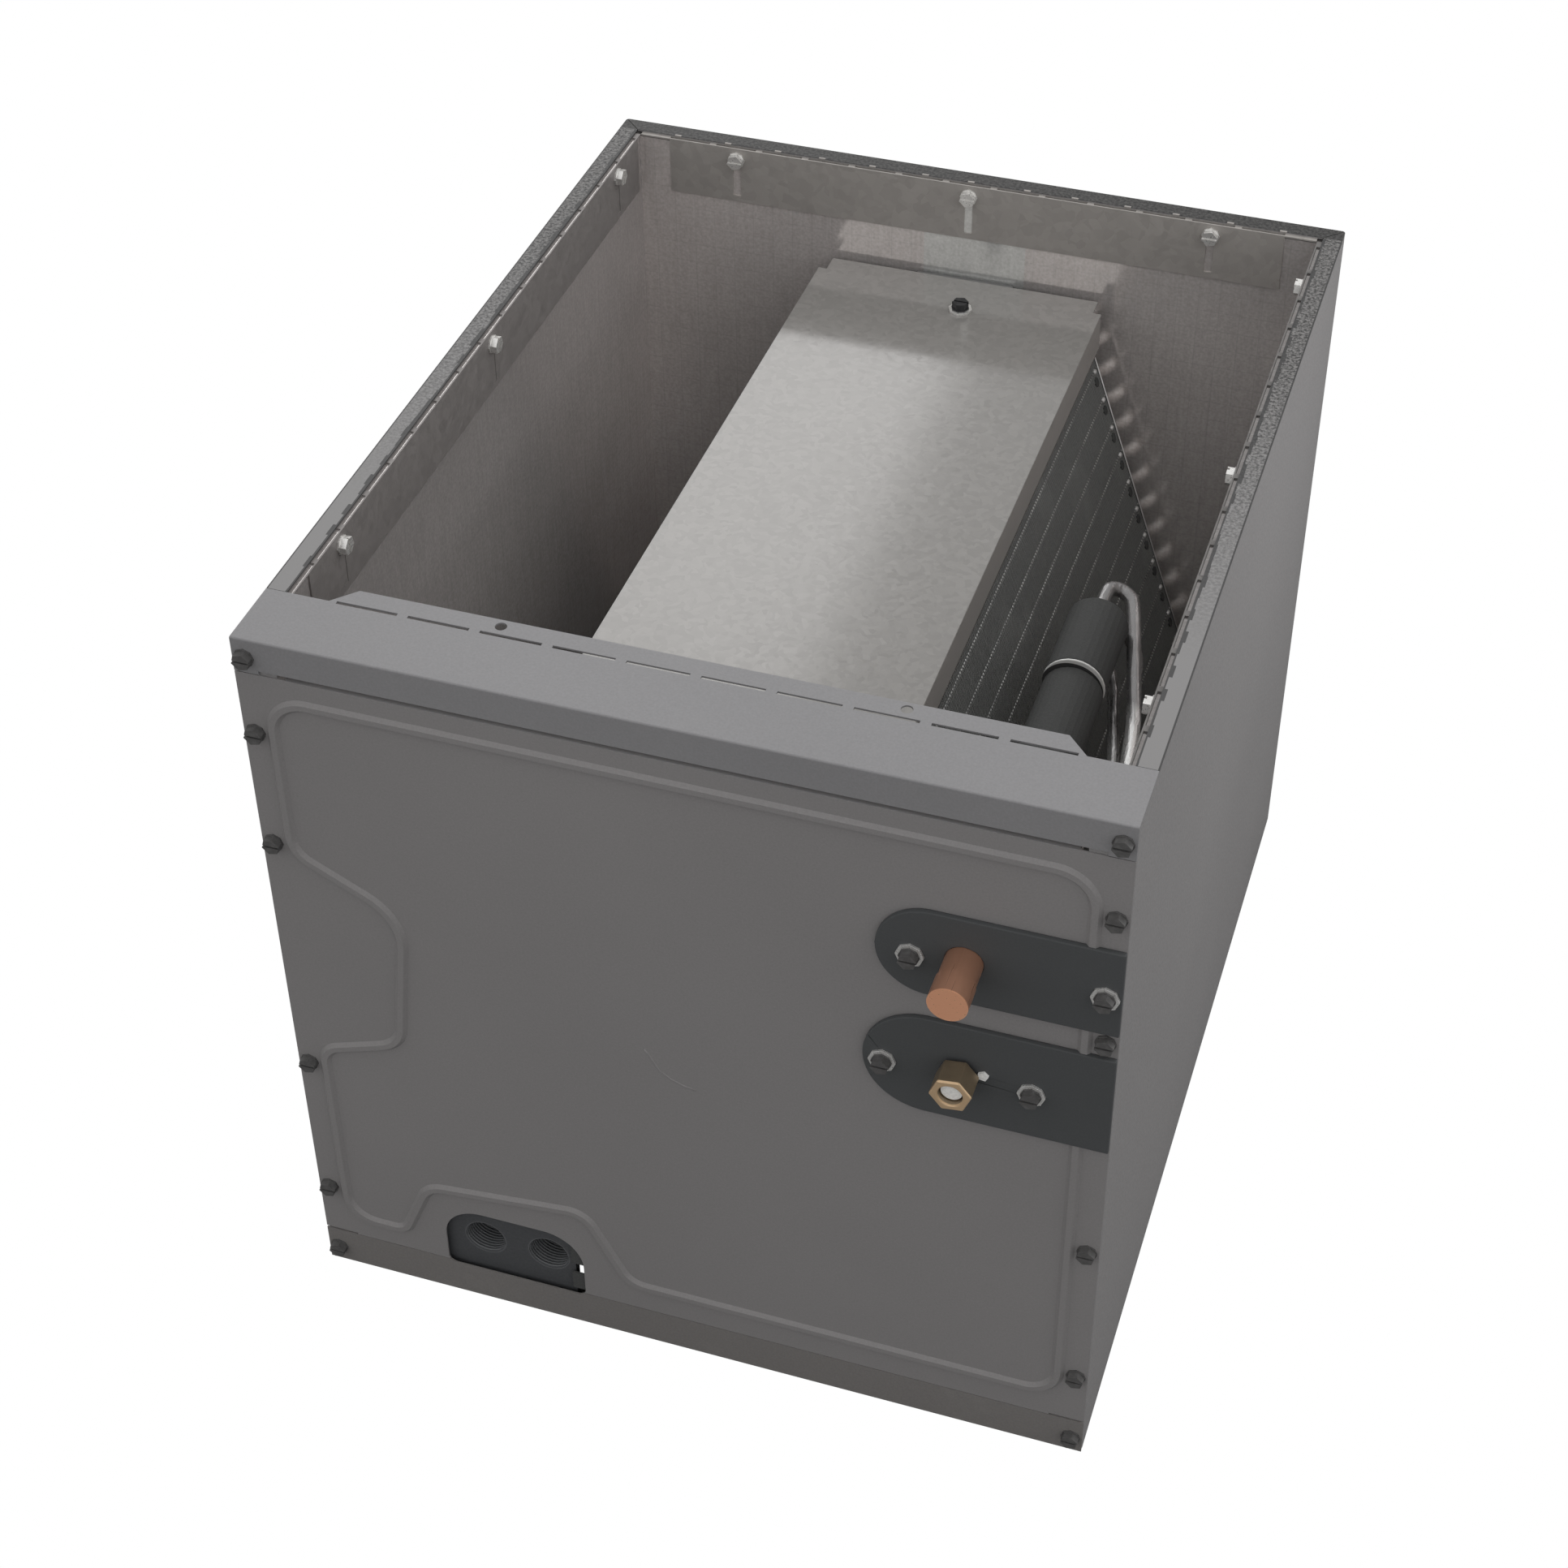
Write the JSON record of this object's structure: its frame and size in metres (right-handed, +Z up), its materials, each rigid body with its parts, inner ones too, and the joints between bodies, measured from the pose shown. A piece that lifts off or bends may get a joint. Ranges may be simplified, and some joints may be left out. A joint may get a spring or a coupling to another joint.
{
  "type": "cased evaporator coil",
  "caption": "Sheet-metal case, open at both ends, round an A-shaped finned evaporator coil on a drain pan, with a copper suction stub and a liquid line nut at the front.",
  "frame": {"origin": "bottom centre of the whole part's box, suction stub included", "axes": "+X across the front towards the side with the refrigerant lines, -Y out of the access panel, +Z up through the air opening"},
  "size_m": [0.4444, 0.5686, 0.4572],
  "materials": {
    "case_paint": "satin speckled grey paint",
    "plate_black": "matte dark paint",
    "galvanised": "galvanised, fine spangle",
    "liner_foil": "foil-faced insulation",
    "pan_plastic": "moulded",
    "fin_stock": "dark coated fins",
    "tube_sheet": "galvanised",
    "coil_tube": "satin",
    "line_copper": "drawn copper",
    "sleeve_foam": "closed-cell foam",
    "ring_metal": "satin",
    "nut_brass": "machined",
    "plug_nylon": "matte",
    "screw_dark": "dark",
    "screw_zinc": "zinc"
  },
  "bodies": {
    "root": {"access_panel": "case_paint", "block_plate_front": "galvanised", "block_plate_rear": "galvanised", "cap_screw": "screw_zinc", "cap_washer": "screw_zinc", "case_screws": "screw_dark", "case_wrap": "case_paint", "circuit_tubes": "coil_tube", "coil_cap_plate": "galvanised", "coil_fins_left": "fin_stock", "coil_fins_right": "fin_stock", "drain_pan": "pan_plastic", "duct_flange_left": "galvanised", "duct_flange_rear": "galvanised", "duct_flange_right": "galvanised", "duct_flange_screws": "screw_zinc", "expansion_valve": "nut_brass", "feeder_tubes": "coil_tube", "flare_nut": "nut_brass", "flare_plug": "plug_nylon", "front_base_rail": "case_paint", "front_top_rail": "case_paint", "line_plate_screws": "screw_dark", "line_plate_washers": "screw_zinc", "liner_left": "liner_foil", "liner_panel": "liner_foil", "liner_rear": "liner_foil", "liner_right": "liner_foil", "liquid_line": "line_copper", "liquid_line_plate": "plate_black", "pan_support_left": "galvanised", "pan_support_right": "galvanised", "return_bends_left": "coil_tube", "return_bends_right": "coil_tube", "suction_line": "line_copper", "suction_line_plate": "plate_black", "suction_sleeve_front": "sleeve_foam", "suction_sleeve_rear": "sleeve_foam", "suction_sleeve_ring": "ring_metal", "suction_stub_cap": "line_copper", "tube_sheet_front_left": "tube_sheet", "tube_sheet_front_right": "tube_sheet", "tube_sheet_rear_left": "tube_sheet", "tube_sheet_rear_right": "tube_sheet"}
  },
  "joints": []
}
